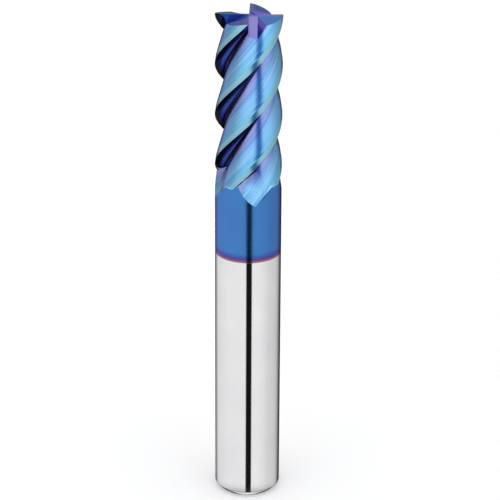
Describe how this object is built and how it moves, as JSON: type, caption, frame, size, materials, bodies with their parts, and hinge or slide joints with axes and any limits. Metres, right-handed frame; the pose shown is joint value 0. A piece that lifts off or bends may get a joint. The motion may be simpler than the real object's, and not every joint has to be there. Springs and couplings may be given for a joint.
{
  "type": "square end mill",
  "caption": "Square end mill with helical flutes, a blue coated cutting end and a bare ground straight shank with a chamfered rear edge",
  "frame": {"origin": "centre of the flat rear face of the shank", "axes": "+Z along the tool axis from the shank to the cutting end, +X beside the corner of the first tooth, +Y a quarter turn on"},
  "size_m": [0.01, 0.01, 0.0775],
  "materials": {
    "bare_carbide": "bare cemented carbide, fine cylindrical grind close to a mirror",
    "coated_carbide": "ground carbide under a thin blue vapour-deposited coating, smooth metallic sheen"
  },
  "bodies": {
    "root": {"shank": "bare_carbide", "neck": "coated_carbide", "core": "coated_carbide", "tooth_1": "coated_carbide", "tooth_2": "coated_carbide", "tooth_3": "coated_carbide", "tooth_4": "coated_carbide"}
  },
  "joints": []
}
